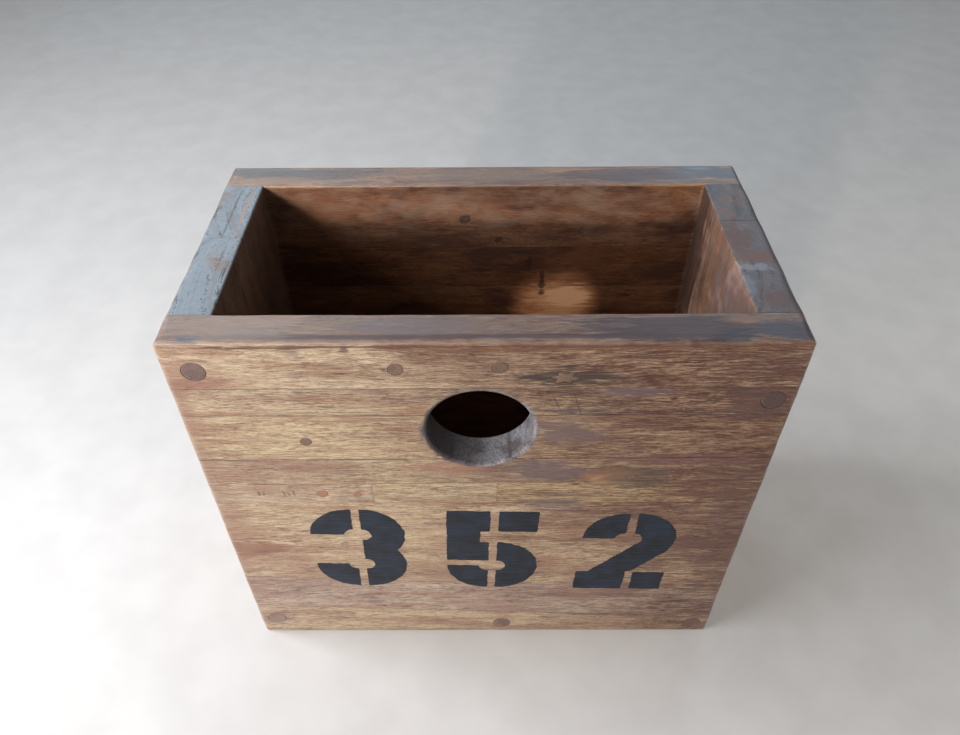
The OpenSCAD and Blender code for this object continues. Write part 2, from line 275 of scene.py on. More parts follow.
def board_mesh(node, seed, loose_top=None, loose_bottom=None):
    """A board's skin in mm: the block that the frame gives, with its joints and sanded edges."""
    low, high = box_mm(node)
    size = high - low
    size[2] = np.mean([top - bottom for bottom, top in board_ends(node)])
    longest = int(size.argmax())
    lines = [rule(size[a], STEP_ALONG if a == longest else STEP_ACROSS) for a in range(3)]
    keys, quads = block_skin([len(l) for l in lines])
    local = np.stack([lines[a][keys[:, a]] for a in range(3)], 1)

    x = low[0] + local[:, 0]
    upper = local[:, 2] > size[2] / 2
    r = np.where(upper, glue_radius(x, loose_top), glue_radius(x, loose_bottom))[:, None]
    core = np.clip(local, r, size - r)
    away = local - core
    reach = np.linalg.norm(away, axis=1)[:, None]
    several = (np.abs(away) > 1e-9).sum(1)[:, None] > 1
    local = np.where(several & (reach > r), core + away * r / np.maximum(reach, 1e-9), local)

    x = low[0] + local[:, 0]
    bottom, top = board_lines(node, x)
    z = bottom + (top - bottom) * local[:, 2] / size[2]
    p = np.stack([x, low[1] + local[:, 1], z], 1)
    p = hand_sand(round_inner_rim(round_outer_edges(p)), seed)
    return p, quads


def stacked(first_tip, rings, last_tip):
    """A closed solid through rings of equally many points, from one tip to the other."""
    verts = np.concatenate([[first_tip], *rings, [last_tip]])
    count = len(rings[0])
    last_ring = 1 + (len(rings) - 1) * count
    faces = []
    for i in range(count):
        j = (i + 1) % count
        faces.append([0, 1 + j, 1 + i])
        for a in range(1, last_ring, count):
            faces.append([a + i, a + j, a + count + j, a + count + i])
        faces.append([last_ring + i, last_ring + j, len(verts) - 1])
    return verts, faces


def lathe(profile, middle, way, segments, waver=0.0, seed=0):
    """A closed turned solid: profile is (radius, distance along way), in mm, from axis to axis."""
    turn = Vector((0, 0, 1)).rotation_difference(Vector(way)).to_matrix()
    angle = np.arange(segments) * 2 * math.pi / segments
    circle = np.stack([np.cos(angle), np.sin(angle), np.zeros(segments)], 1)
    rings = [circle * radius + [0, 0, height] for radius, height in profile[1:-1]]
    verts, faces = stacked((0, 0, profile[0][1]), rings, (0, 0, profile[-1][1]))
    if waver:
        verts[:, :2] *= 1 + waver * ripple(verts * [1, 1, 0], 7, seed)[:, None]
    return verts @ np.array(turn).T + np.array(middle), faces


def together(solids):
    """Several (verts, faces) as one."""
    verts, faces, start = [], [], 0
    for v, f in solids:
        verts.append(v)
        faces += [[start + i for i in face] for face in f]
        start += len(v)
    return np.concatenate(verts), faces


def facing_out(piece):
    """Turns a closed mesh's faces outwards."""
    work = bmesh.new()
    work.from_mesh(piece.data)
    bmesh.ops.recalc_face_normals(work, faces=work.faces)
    work.to_mesh(piece.data)
    work.free()


def cut(piece, solids):
    """Takes the solids out of the piece."""
    cutter = new_piece("cutter", *together(solids))
    facing_out(cutter)
    step = piece.modifiers.new("cut", "BOOLEAN")
    step.object = cutter
    step.operation = "DIFFERENCE"
    step.solver = "EXACT"
    ready = piece.evaluated_get(bpy.context.evaluated_depsgraph_get())
    done = bpy.data.meshes.new_from_object(ready)
    piece.modifiers.clear()
    old = piece.data
    piece.data = done
    bpy.data.meshes.remove(old)
    bpy.data.objects.remove(cutter)


def solids_in(node):
    """Box of each separate solid in a CAD node, in mm, as (lowest, highest) corners."""
    mesh = frame["nodes"][node].data
    spots = points_of(mesh)
    keys, same = np.unique(np.round(spots, 3), axis=0, return_inverse=True)
    same = same.reshape(-1)
    parent = list(range(len(keys)))

    def root(i):
        while parent[i] != i:
            parent[i] = parent[parent[i]]
            i = parent[i]
        return i

    for edge in mesh.edges:
        a, b = root(same[edge.vertices[0]]), root(same[edge.vertices[1]])
        parent[a] = b
    groups = {}
    for i in range(len(keys)):
        groups.setdefault(root(i), []).append(keys[i])
    boxes = [(np.min(g, axis=0), np.max(g, axis=0)) for g in groups.values()]
    return sorted(boxes, key=lambda b: (round(b[0][0], 1), round(b[0][2], 1)))


# ---- Materials ------------------------------------------------------------------------------

def add(tree, kind, links=None, **settings):
    """Adds a shader node. links maps an input's name or number to a value, to an output, or to a
    node, which then gives its first output in use."""
    made = tree.nodes.new("ShaderNode" + kind)
    for name, value in settings.items():
        setattr(made, name, value)
    for name, value in (links or {}).items():
        if isinstance(value, bpy.types.Node):
            value = next(s for s in value.outputs if s.enabled)
        if isinstance(value, bpy.types.NodeSocket):
            tree.links.new(value, made.inputs[name])
        else:
            made.inputs[name].default_value = value
    return made


def patches(tree, place, cell, low=0.3, high=0.7, amount=1.0, detail=2.0, twist=0.0):
    """Random soft patches, cell mm large: none where the noise is under low, amount over high."""
    small = add(tree, "VectorMath", {0: place, 1: [1 / size for size in cell]}, operation="MULTIPLY")
    value = add(tree, "TexNoise", {"Vector": small, "Scale": 1.0, "Detail": detail, "Roughness": 0.6,
                "Distortion": twist})
    return add(tree, "MapRange", {"Value": value, "From Min": low, "From Max": high, "To Max": amount},
               interpolation_type="SMOOTHSTEP")


def oval(tree, across, up, at, half, amount, wander=0.0, soft=0.3, lean=0.0):
    """One soft-edged oval mark; wander makes its outline ragged and lean slants it."""
    du = add(tree, "Math", {0: up, 1: at[1]}, operation="SUBTRACT")
    dx = add(tree, "Math", {0: du, 1: lean, 2: across}, operation="MULTIPLY_ADD")
    dx = add(tree, "Math", {0: dx, 1: at[0]}, operation="SUBTRACT")
    part = add(tree, "CombineXYZ", {0: dx, 1: du})
    part = add(tree, "VectorMath", {0: part, 1: (1 / half[0], 1 / half[1], 0)}, operation="MULTIPLY")
    reach = add(tree, "VectorMath", {0: part}, operation="LENGTH")
    reach = add(tree, "Math", {0: reach, 1: wander}, operation="ADD")
    return add(tree, "MapRange", {"Value": reach, "From Min": 1 + soft, "From Max": 1 - soft,
               "To Max": amount}, interpolation_type="SMOOTHSTEP")


def weighted(tree, start, *parts):
    """start plus every (value, weight) part."""
    total = start
    for value, weight in parts:
        total = add(tree, "Math", {0: value, 1: weight, 2: total}, operation="MULTIPLY_ADD")
    return total


def lay(tree, colour, coats, blend="MIX"):
    """The colour with coats laid over it in turn. Each coat is a hex colour and one or more masks,
    which are multiplied."""
    for code, mask, *others in coats:
        for other in others:
            mask = add(tree, "Math", {0: mask, 1: other}, operation="MULTIPLY")
        colour = add(tree, "Mix", {0: mask, 6: colour, 7: linear(code)}, data_type="RGBA", blend_type=blend)
    return colour


def start_material(name):
    """A new material, its empty node tree, and the place on the box in mm."""
    material = bpy.data.materials.new(name)
    material.use_nodes = True
    tree = material.node_tree
    tree.nodes.clear()
    spot = add(tree, "TexCoord").outputs["Object"]
    return material, tree, add(tree, "VectorMath", {0: spot, "Scale": 1 / MM}, operation="SCALE")


def finish_material(material, inputs):
    """Gives the material a surface shader with these inputs."""
    surface = add(material.node_tree, "BsdfPrincipled", inputs)
    add(material.node_tree, "OutputMaterial", {"Surface": surface})
    return material


# Real sizes of the wood's pattern, in mm: along the grain, across it, and through it
WARP = (95, 24, 24)
RIPPLE = (17, 9, 9)
FIBRE = (11, 0.65, 0.65)
HAIR = (3.2, 0.35, 0.35)
STREAK = (52, 4.5, 4.5)
CLOUD = (75, 20, 20)
CROWD = (26, 9, 9)                # where open pores gather
DASH = (6.5, 0.75, 0.75)          # bundles of open pores, which read as short dark dashes
PORE = (2.6, 0.4, 0.4)            # single pores are 0.2 mm wide, drawn wider so that they show
VEIN = (58, 6, 6)
OLD_STAIN = (80, 22, 22)
BLOT = (30, 6.5, 6.5)
RIM_CLOUD = (30, 3.5, 3.5)
RUBBED_AND_HIGHLIT = (12, 1.1, 1.1)
WORN_IN = (8, 0.8, 0.8)
DAMP = (42, 17, 17)
RING_MM = 5.5

# The same in the box's own x, y and z
END_CLOUD = (26, 20, 20)
END_PORE = (0.85, 1.0, 9)
END_SPECK = (3, 3, 3)
FUZZ = (17, 17, 7)
BORE_TUFT = (2.2, 3, 1.6)
BORE_PIT = (0.8, 1.0, 0.8)
BORE_PATCH = (14, 14, 14)
GLUE_RUN = (16, 16, 16)
SCUFF = (7, 7, 7)

PORE_DARK = 0.75                  # how dark a bundle of pores reads
FUZZ_AND_LIT_BAND_DEEP = 48                    # how far below the rim the raised fibres inside, and the painted lit band with them, reach, in mm
RING_DRIFT = 0.03                 # how little the growth rings change along a board

# The axes in which each kind of stain or painted light is placed: on an outer wall, inside the front and
# back, inside the two sides (the cheeks), and on the rim
STAIN_AND_LIGHT_AXES = {"wall": (0, 2), "inside": (0, 2), "cheek": (1, 2), "rim": (0, 1)}


def grain_place(tree, place, along, shift):
    """The place in the board's own directions, along, across and through, swaying as fibres do."""
    axes = add(tree, "SeparateXYZ", {0: place}).outputs
    order = {"x": (0, 2, 1), "y": (1, 0, 2), "z": (2, 1, 0)}[along]
    grain = add(tree, "CombineXYZ", {i: axes[a] for i, a in enumerate(order)})
    grain = add(tree, "VectorMath", {0: grain, 1: shift}, operation="ADD")
    for cell, sway in ((WARP, 9.0), (RIPPLE, 1.6)):
        small = add(tree, "VectorMath", {0: grain, 1: [1 / size for size in cell]}, operation="MULTIPLY")
        swirl = add(tree, "TexNoise", {"Vector": small, "Scale": 1.0, "Detail": 1.0}).outputs["Color"]
        push = add(tree, "VectorMath", {0: swirl, 1: (0, sway, sway), 2: (0, -sway / 2, -sway / 2)},
                   operation="MULTIPLY_ADD")
        grain = add(tree, "VectorMath", {0: grain, 1: push}, operation="ADD")
    return grain


def growth_rings(tree, grain, shift, pith):
    """Bands that stay at one distance from the pith, which lies outside the board and drifts."""
    from_pith = (-shift[0], pith[0] - shift[1], pith[1] - shift[2])
    out = add(tree, "VectorMath", {0: grain, 1: from_pith}, operation="ADD")
    out = add(tree, "VectorMath", {0: out, 1: (RING_DRIFT, 1, 1)}, operation="MULTIPLY")
    distance = add(tree, "VectorMath", {0: out}, operation="LENGTH")
    distance = add(tree, "Math", {0: distance, 1: RING_MM}, operation="DIVIDE")
    return add(tree, "TexNoise", {"W": distance, "Scale": 1.0, "Detail": 3.0, "Roughness": 0.62},
               noise_dimensions="1D")


def stain_and_light_coats(tree, axes, edge, stains_and_light, kind, *masks):
    """A coat for each stain or painted light of this kind, where the masks allow it."""
    across, up = STAIN_AND_LIGHT_AXES[kind]
    return [(code, oval(tree, axes[across], axes[up], (s, t), (half_s, half_t), strength, edge), *masks)
            for face, s, t, half_s, half_t, code, strength in stains_and_light if face == kind]


def darker_to_the_right(tree, colour, axes, cloud, tone):
    """The front's long change of tone, deeper towards the right and the top."""
    code, start, end, sway, rise = RIGHT_TONE
    toward = weighted(tree, -sway / 2 - rise * MIDDLE[2], (cloud, sway), (axes[2], rise), (axes[0], 1.0))
    toward = add(tree, "MapRange", {"Value": toward, "From Min": start, "From Max": end},
                 interpolation_type="SMOOTHSTEP")
    spared = weighted(tree, 1.15, (tone, -0.5))
    return lay(tree, colour, ((code, toward, spared),), "MULTIPLY")


def rim_coats(tree, place, grain, ring, crowd, along, bloom_and_sheen, on_rim):
    """The rim is handled most: its lacquer has clouded grey, with a blue tint that is partly painted sky
    sheen, and is rubbed away in pale streaks that are partly painted highlight. End grain also shows its
    growth rings and pores there."""
    # The clouded grey lacquer is partly painted sheen: its blue tint, and its paleness on the left rim,
    # stand in for the cool sky reflected by the top faces
    bloom_and_sheen_code, amount = bloom_and_sheen
    if along != "z":
        return (
            ("#7c675c", on_rim, patches(tree, grain, FIBRE, 0.2, 0.8, 0.7)),
            (bloom_and_sheen_code, on_rim, patches(tree, grain, RIM_CLOUD, 0.38, 0.62, amount, 5.0)),
            # Pale rubbed streaks on the rim, partly painted highlight
            ("#96897f", on_rim, patches(tree, grain, RUBBED_AND_HIGHLIT, 0.5, 0.72, 0.55, 3.0)),
            ("#4c3d39", on_rim, patches(tree, grain, WORN_IN, 0.52, 0.68, 0.5, 3.0)),
        )
    line = add(tree, "Math", {0: ring, 1: 0.5, 2: 0.011}, operation="COMPARE")
    beside = add(tree, "Math", {0: ring, 1: 0.5, 2: 0.05}, operation="COMPARE")
    band = add(tree, "MapRange", {"Value": ring, "From Min": 0.56, "From Max": 0.68, "To Max": 0.4})
    return (
        (bloom_and_sheen_code, on_rim, patches(tree, place, END_CLOUD, 0.28, 0.5, amount, 4.0, 0.8)),
        ("#66584f", on_rim, band),
        ("#5f6468", on_rim, patches(tree, place, END_SPECK, 0.4, 0.7, 0.35, 4.0)),
        ("#3f3a3a", on_rim, line, crowd),
        ("#38383c", on_rim, beside, patches(tree, place, END_PORE, 0.56, 0.66, 0.85, 0.0)),
    )


def bore_coats(tree, place, axes, torn):
    """The hole saw tore the fibres: a dull grey nap with dark pits, and painted shade over the left of the
    bore.
    """
    shade_at = (HOLE_X - 22, HOLE_Z)
    return (
        ("#827f83", torn),
        ("#4c4442", torn, patches(tree, place, BORE_TUFT, 0.45, 0.68, 0.6, 4.0)),
        ("#2e2826", torn, patches(tree, place, BORE_PIT, 0.52, 0.62, 0.7)),
        ("#3a2a24", torn, patches(tree, place, BORE_PATCH, 0.5, 0.65, 0.6)),
        # Painted shade: the bore wall and its lip darkened on the left, the side the lamps leave in shade
        ("#332a28", torn, oval(tree, axes[0], axes[2], shade_at, (25, 36), 0.85, soft=0.7)),
    )


def wood(name, along, light, dark, seed, pith, stain, amount, stains_and_light=(), ticks=(), front=False,
         bloom_and_sheen=("#7c838c", 0.5), end_dark=0.35, inside=("#b49a8c", 0.7), glue_amount=0.8, contrast=1.0):
    """Reclaimed hardwood, sanded and sealed with satin lacquer: a brown long-grained timber whose
    open pores show as short dark dashes, with old staining, worn edges and dark glue lines, and painted
    light and shade where its tables and coats put it."""
    material, tree, place = start_material(name)
    axes = add(tree, "SeparateXYZ", {0: place}).outputs
    normal = add(tree, "SeparateXYZ", {0: add(tree, "NewGeometry").outputs["True Normal"]}).outputs
    within, glued, worn = (add(tree, "Attribute", attribute_name=mask).outputs["Fac"]
                           for mask in ("inside", "glue", "wear"))
    shift = np.random.default_rng(seed).uniform(-400, 400, 3).tolist()
    grain = grain_place(tree, place, along, shift)
    ring = growth_rings(tree, grain, shift, (pith[0] - MIDDLE[2] * (along != "z"), pith[1]))
    fibre = patches(tree, grain, FIBRE, detail=4.0)
    hair = patches(tree, grain, HAIR)
    streak = patches(tree, grain, STREAK, 0.25, 0.75, detail=4.0)
    crowd = patches(tree, grain, CROWD, 0.35, 0.65)
    dash = patches(tree, grain, DASH, 0.52, 0.66, PORE_DARK)
    dash = add(tree, "Math", {0: dash, 1: crowd}, operation="MULTIPLY")
    pore = patches(tree, grain, PORE, 0.56, 0.7, PORE_DARK * 0.7, 1.0)
    edge = weighted(tree, -0.8, (streak, 1.1), (fibre, 0.5))

    tone = weighted(tree, -0.475, (fibre, 0.9), (hair, 0.55), (streak, 0.45), (ring, 0.2))
    tone = weighted(tree, 0.5 - 0.5 * contrast, (tone, contrast))
    colour = lay(tree, linear(dark), (
        (light, tone),
        ("#7c4a33", patches(tree, grain, VEIN, 0.5, 0.68, 0.45, 3.0)),
        (stain, patches(tree, grain, OLD_STAIN, 0.45, 0.66, amount * 1.25, 3.0)),
        ("#54444a", patches(tree, grain, BLOT, 0.6, 0.68, amount, 3.0)),
    ))
    colour = lay(tree, colour, (("#7d5a48", dash), ("#8c6a56", pore)), "MULTIPLY")
    if front:
        cloud = patches(tree, grain, CLOUD, detail=3.0, twist=0.5)
        colour = darker_to_the_right(tree, colour, axes, cloud, tone)
    colour = lay(tree, colour, stain_and_light_coats(tree, axes, edge, stains_and_light, "wall"))
    colour = lay(tree, colour, stain_and_light_coats(tree, axes, edge, stains_and_light, "inside", within))
    for x, z, half_x, half_z, lean in ticks:
        tick = oval(tree, axes[0], axes[2], (x, z), (half_x, half_z), 0.6, soft=0.5, lean=lean)
        colour = lay(tree, colour, (("#33221a", tick),))

    # Cut fibres at a board's end drink more lacquer, and go darker and greyer
    end_face = add(tree, "Math", {0: normal["xyz".index(along)]}, operation="ABSOLUTE")
    end_face = add(tree, "MapRange", {"Value": end_face, "From Min": 0.55, "From Max": 0.9,
                   "To Max": end_dark})
    colour = lay(tree, colour, (("#6a6460", end_face),), "MULTIPLY")
    facing_up = add(tree, "MapRange", {"Value": normal["Z"], "From Min": 0.25, "From Max": 0.6})
    at_top = add(tree, "MapRange", {"Value": axes[2], "From Min": RIM_Z - 3, "From Max": RIM_Z - 1})
    on_rim = add(tree, "Math", {0: facing_up, 1: at_top}, operation="MULTIPLY")
    colour = lay(tree, colour, rim_coats(tree, place, grain, ring, crowd, along, bloom_and_sheen, on_rim))
    colour = lay(tree, colour, stain_and_light_coats(tree, axes, edge, stains_and_light, "rim", on_rim))

    # Inside, the wood was sealed but never sanded fine: dark, and fuzzy with raised fibres by the rim, whose
    # pale coat is partly a painted lit band along the top
    inside_code, inside_dark = inside
    fuzz_and_lit_band = add(tree, "Math", {0: within, 1: patches(tree, place, FUZZ, 0.35, 0.75, 0.5, 5.0)},
               operation="MULTIPLY")
    by_rim = add(tree, "MapRange", {"Value": axes[2], "From Min": RIM_Z - FUZZ_AND_LIT_BAND_DEEP,
                 "From Max": RIM_Z - FUZZ_AND_LIT_BAND_DEEP / 3}, interpolation_type="SMOOTHSTEP")
    colour = lay(tree, colour, ((inside_code, within),), "MULTIPLY")
    colour = lay(tree, colour, (
        ("#3c2219", within, patches(tree, grain, DAMP, 0.5, 0.64, inside_dark, 3.0)),
        # Partly painted light: the pale coat of raised fibres fades in towards the rim as a lit band along
        # the top of the inside
        ("#8c7866", fuzz_and_lit_band, by_rim),
    ))
    colour = lay(tree, colour, stain_and_light_coats(tree, axes, edge, stains_and_light, "cheek", within))
    rough = weighted(tree, 0.37, (streak, 0.1), (dash, 0.16))
    if front:
        torn = weighted(tree, add(tree, "Attribute", attribute_name="bore").outputs["Fac"], (fibre, 0.4))
        torn = add(tree, "MapRange", {"Value": torn, "From Min": 0.45, "From Max": 0.85})
        colour = lay(tree, colour, bore_coats(tree, place, axes, torn))
        rough = weighted(tree, rough, (torn, 0.3))
    colour = lay(tree, colour, (
        ("#2a1a12", glued, patches(tree, place, GLUE_RUN, 0.3, 0.55, glue_amount)),
        ("#94806e", worn, patches(tree, place, SCUFF, 0.42, 0.62, 0.25, 4.0)),
    ))
    height = weighted(tree, fibre, (dash, -0.6), (pore, -0.5), (fuzz_and_lit_band, 1.0))
    bump = add(tree, "Bump", {"Height": height, "Strength": 0.5, "Distance": 0.13 * MM})
    return finish_material(material, {"Base Color": colour, "Roughness": rough, "Normal": bump,
                                      "Coat Weight": 0.25, "Coat Roughness": 0.34})


def stencil_paint():
    """Black stencil paint with a low sheen, dabbed on thin; its blue tint is painted reflection of the cool
    window. It follows the grain and has worn through in specks on the high fibres."""
    material, tree, place = start_material("stencil_paint")
    fibre = patches(tree, place, (22, 22, 0.8), detail=3.0)
    # Painted reflection: the blue of the paint and of its lighter streaks stands in for the cool window's
    # sheen
    colour = lay(tree, linear("#0b1119"), (
        ("#152030", patches(tree, place, (9, 9, 9))),
        ("#202b39", patches(tree, place, (20, 20, 0.9), 0.5, 0.7, 0.3)),
        ("#4a3c35", patches(tree, place, (2.2, 2.2, 0.5), 0.68, 0.76, 0.55)),
    ))
    bump = add(tree, "Bump", {"Height": fibre, "Strength": 0.5, "Distance": 0.12 * MM})
    return finish_material(material, {"Base Color": colour, "Roughness": weighted(tree, 0.36, (fibre, 0.14)),
                                      "Normal": bump, "Specular IOR Level": 0.3})


def zinc_steel():
    """Yellow zinc-plated screw steel, with the faint cloudiness that plating leaves."""
    material, tree, place = start_material("zinc_steel")
    cloud = patches(tree, place, (1.5, 1.5, 1.5), detail=3.0)
    colour = lay(tree, linear("#9c9480"), (("#cfc6a8", cloud),))
    return finish_material(material, {"Base Color": colour, "Roughness": weighted(tree, 0.25, (cloud, 0.2)),
                                      "Metallic": 1.0})


def filler():
    """Tinted wood filler: a dull even paste with fine grit, sanded flush."""
    material, tree, place = start_material("knot_filler")
    grit_mm = (0.8, 0.8, 0.8)
    grit = patches(tree, place, grit_mm, detail=3.0)
    colour = lay(tree, linear("#54443a"), (
        ("#6f5a4a", patches(tree, place, (6, 3, 3))),
        ("#5a463a", patches(tree, place, grit_mm, 0.5, 0.7, 0.5)),
    ))
    bump = add(tree, "Bump", {"Height": grit, "Strength": 0.5, "Distance": 0.1 * MM})
    return finish_material(material, {"Base Color": colour, "Roughness": 0.6, "Normal": bump})


# ---- Boards ---------------------------------------------------------------------------------

# Old staining, and inside the back and the right side also painted light and shade: (kind, two places along
# that kind's axes, two half sizes, colour, strength)
FRONT_STAINS = (
    ("wall", 36, 228.5, 21, 5.2, "#33241a", 0.85),
    ("wall", 24, 228.5, 9, 1.6, "#2c1e16", 0.9),
    ("wall", 50, 229, 10, 1.4, "#33241c", 0.9),
    ("wall", 62, 158, 12, 6, "#a07048", 0.4),
    ("wall", 76, 156, 17, 10, "#453a2c", 0.55),
    ("wall", 67, 219.5, 16, 3.6, "#544549", 0.8),
    ("wall", 41, 207.5, 18, 1.8, "#4a383c", 0.8),
    ("wall", 36, 197, 13, 6, "#5c4844", 0.7),
    ("wall", 42, 190, 13, 4, "#5c494a", 0.65),
    ("wall", 32, 164, 16, 8, "#584749", 0.8),
    ("wall", 37, 136, 15, 5.5, "#54454a", 0.65),
    ("wall", -131, 95, 16, 9, "#713f2e", 0.65),
    ("wall", 126, 212, 18, 9, "#4a2f28", 0.75),
    ("wall", 118, 150, 22, 12, "#553329", 0.55),
    ("wall", 108, 96, 20, 10, "#4f3128", 0.6),
    ("wall", 60, 45, 30, 8, "#6b4a40", 0.4),
    ("wall", 96, 172, 36, 4.5, "#5a3632", 0.7),
    ("wall", -128, 226, 13, 5, "#80584a", 0.4),
    ("wall", -28, 208, 22, 3, "#7c5238", 0.5),
    ("wall", -60, 202, 14, 2.5, "#7c5a48", 0.45),
    ("wall", -20, 168, 18, 4, "#8a5e4c", 0.4),
    ("wall", -120, 160, 13, 5, "#80564c", 0.4),
    ("wall", -60, 246, 2.4, 2.4, "#4c3b3a", 0.8),
    ("wall", -130, 15, 9, 7, "#735a55", 0.5),
    ("wall", -143, 150, 14, 110, "#82604f", 0.5),
    ("wall", 0, 250, 170, 3.2, "#70503c", 0.55),
    ("wall", 20, 246, 60, 1.6, "#6a3f28", 0.5),
    ("wall", 62, 110, 30, 9, "#74503c", 0.45),
    ("wall", 136, 110, 18, 62, "#4c3128", 0.5),
    ("wall", 128, 234, 26, 11, "#4a2f27", 0.4),
    ("wall", -20, 247.4, 120, 0.9, "#4a2c20", 0.8),
    ("rim", -5, -71.2, 120, 1.6, "#4c3a3c", 0.8),
    ("rim", -127, -73, 6, 3, "#474c58", 0.8),
    ("rim", -30, -64, 30, 5, "#6a6163", 0.6),
    ("rim", -112, -63, 26, 9, "#8a7a6e", 0.5),
    ("rim", 88, -66, 42, 8, "#3a2f34", 0.8),
    ("rim", 109, -71, 8, 4, "#2c2c38", 0.75),
    ("rim", 114, -61, 8, 2, "#8a6650", 0.6),
    ("rim", 132, -66, 12, 9, "#413f48", 0.7),
)
BACK_STAINS_AND_LIGHT = (
    # Painted pool of light: the low lamp's patch through the finger hole, painted pale and creamy on the
    # inside of the back wall; the two thin dark marks in it are real
    ("inside", 50, 196, 17, 15, "#9c7a5e", 0.7),
    ("inside", 47, 170, 19, 18, "#cfbc95", 0.9),
    ("inside", 50, 172, 12, 9, "#f0e6ca", 0.8),
    ("inside", 35, 184, 2.2, 8, "#2c1513", 0.85),
    ("inside", 27, 199, 1.3, 5, "#2c1713", 0.7),
    # Painted light: a paler lit band along the top of the back wall's inside
    ("inside", -80, 235, 32, 7, "#b09478", 0.45),
    ("inside", -20, 238, 40, 6, "#a88c74", 0.45),
    ("inside", 70, 238, 34, 8, "#9c8878", 0.45),
    ("inside", -100, 190, 40, 14, "#2a1a14", 0.3),
    ("inside", -40, 215, 16, 9, "#4a3020", 0.4),
    ("inside", 100, 205, 14, 6, "#7a5a34", 0.4),
    ("rim", -112, 68, 44, 6, "#575655", 0.8),
    ("rim", -118, 60, 18, 2.6, "#8c7058", 0.7),
    ("rim", 10, 66, 60, 7, "#85776f", 0.5),
    ("rim", 52, 69, 26, 3.2, "#a58062", 0.7),
    ("rim", 78, 65, 40, 6, "#4d484f", 0.75),
    ("rim", 124, 68, 20, 9, "#55626f", 0.8),
    ("rim", 122, 71, 9, 2.5, "#7d909f", 0.5),
)
LEFT_STAINS = (
    ("rim", -125, 30, 0.9, 20, "#9a7a62", 0.8),
    ("rim", -131, 24, 0.6, 18, "#4a4644", 0.8),
    ("rim", -127, -14, 0.6, 14, "#4f4a48", 0.7),
    ("rim", -136, 10, 3, 40, "#7b8890", 0.4),
)
RIGHT_STAINS_LIGHT_AND_SHADE = (
    # Painted shadow: the right side's inside darkened along the back corner, where the back wall shades it
    ("cheek", 52, 190, 18, 110, "#2e1e19", 0.8),
    # Painted light: the front part of the right side's inside painted a lit pinkish grey
    ("cheek", -30, 190, 34, 90, "#8f7f7c", 0.5),
    ("rim", 126, 3, 7, 13, "#5a3f36", 0.85),
    ("rim", 133, -13, 8, 5, "#664538", 0.8),
    ("rim", 128, -22, 8, 2.6, "#8793a0", 0.45),
    ("rim", 126, 24, 4, 5, "#744e42", 0.6),
    ("rim", 122, -36, 3, 8, "#75828f", 0.45),
    ("rim", 133, -46, 9, 6, "#5c423a", 0.75),
    ("rim", 124, -10, 3, 8, "#61433a", 0.7),
)
# Scratches and nail ticks: (x, z, half width, half height, lean)
FRONT_TICKS = (
    (33, 213, 0.45, 6.5, 0.42),
    (43, 211, 0.4, 7.0, 0.3),
    (-117, 145.5, 0.6, 1.9, 0.1),
    (-114.5, 145, 0.5, 1.6, -0.1),
    (-104, 145.5, 0.6, 2.0, 0.2),
    (-101.5, 144.6, 0.5, 1.8, 0.3),
    (-98.8, 145.4, 0.6, 2.0, 0.1),
)
# The front's change of tone: colour, x where it starts and ends, how far it sways, and its slope
RIGHT_TONE = ("#855742", -75, 145, 70, 0.45)

# node: light, dark, seed, pith, stain, how much stain
FRONT_WOOD = {
    "front_strip_1": ("#bdad92", "#896f56", 11, (60, 90), "#7c5642", 0.45),
    "front_strip_2": ("#b5a387", "#785f4b", 12, (90, 60), "#7a5850", 0.45),
    "front_strip_3": ("#bcab8b", "#7e644b", 13, (120, 75), "#805a46", 0.4),
    "front_strip_4": ("#b3a284", "#775e49", 14, (40, 85), "#7c5a50", 0.45),
    "front_strip_5_left": ("#bcac92", "#816955", 15, (80, 70), "#88644f", 0.3),
    "front_strip_5_middle": ("#bfb191", "#866f55", 16, (95, 65), "#8e6a4c", 0.25),
    "front_strip_5_right": ("#baa781", "#7c6142", 17, (70, 88), "#785038", 0.35),
    "front_strip_6": ("#bcaa8c", "#81664e", 18, (130, 60), "#805a48", 0.4),
    "front_strip_7": ("#b2a290", "#796053", 19, (45, 80), "#7e6054", 0.4),
    "front_strip_8": ("#baa88c", "#806651", 20, (85, 95), "#846452", 0.35),
}
BACK_WOOD = {
    "back_strip_1": ("#c2a380", "#836046", 31, (70, -80), "#5e4034", 0.5),
    "back_strip_2": ("#b8966f", "#7a583e", 32, (95, -60), "#553930", 0.5),
    "back_strip_3": ("#c6a57c", "#88664a", 33, (50, -90), "#694836", 0.4),
    "back_strip_4": ("#bc996f", "#7c5a40", 34, (120, -75), "#5c4034", 0.45),
    "back_strip_5": ("#c4a27c", "#866448", 35, (85, -65), "#664838", 0.45),
    "back_strip_6": ("#be9c77", "#806046", 36, (60, -85), "#62493e", 0.45),
}
LEFT_WOOD = {
    "left_board_front": ("#b89a7c", "#7c604a", 41, (30, 40), "#564842", 0.4),
    "left_board_rear": ("#ad9078", "#745a48", 42, (-45, 60), "#524642", 0.4),
}
RIGHT_WOOD = {
    "right_board_front": ("#c09a7a", "#805e48", 43, (25, -45), "#6a4c40", 0.4),
    "right_board_rear": ("#ae9078", "#705a4c", 44, (-60, -35), "#5a4a44", 0.4),
}
BASE_WOOD = {
    "base_board_front": ("#ac8863", "#70523b", 51, (60, 60), "#523a2e", 0.4),
    "base_board_rear": ("#a27e5f", "#684a37", 52, (60, 60), "#4c3628", 0.4),
}
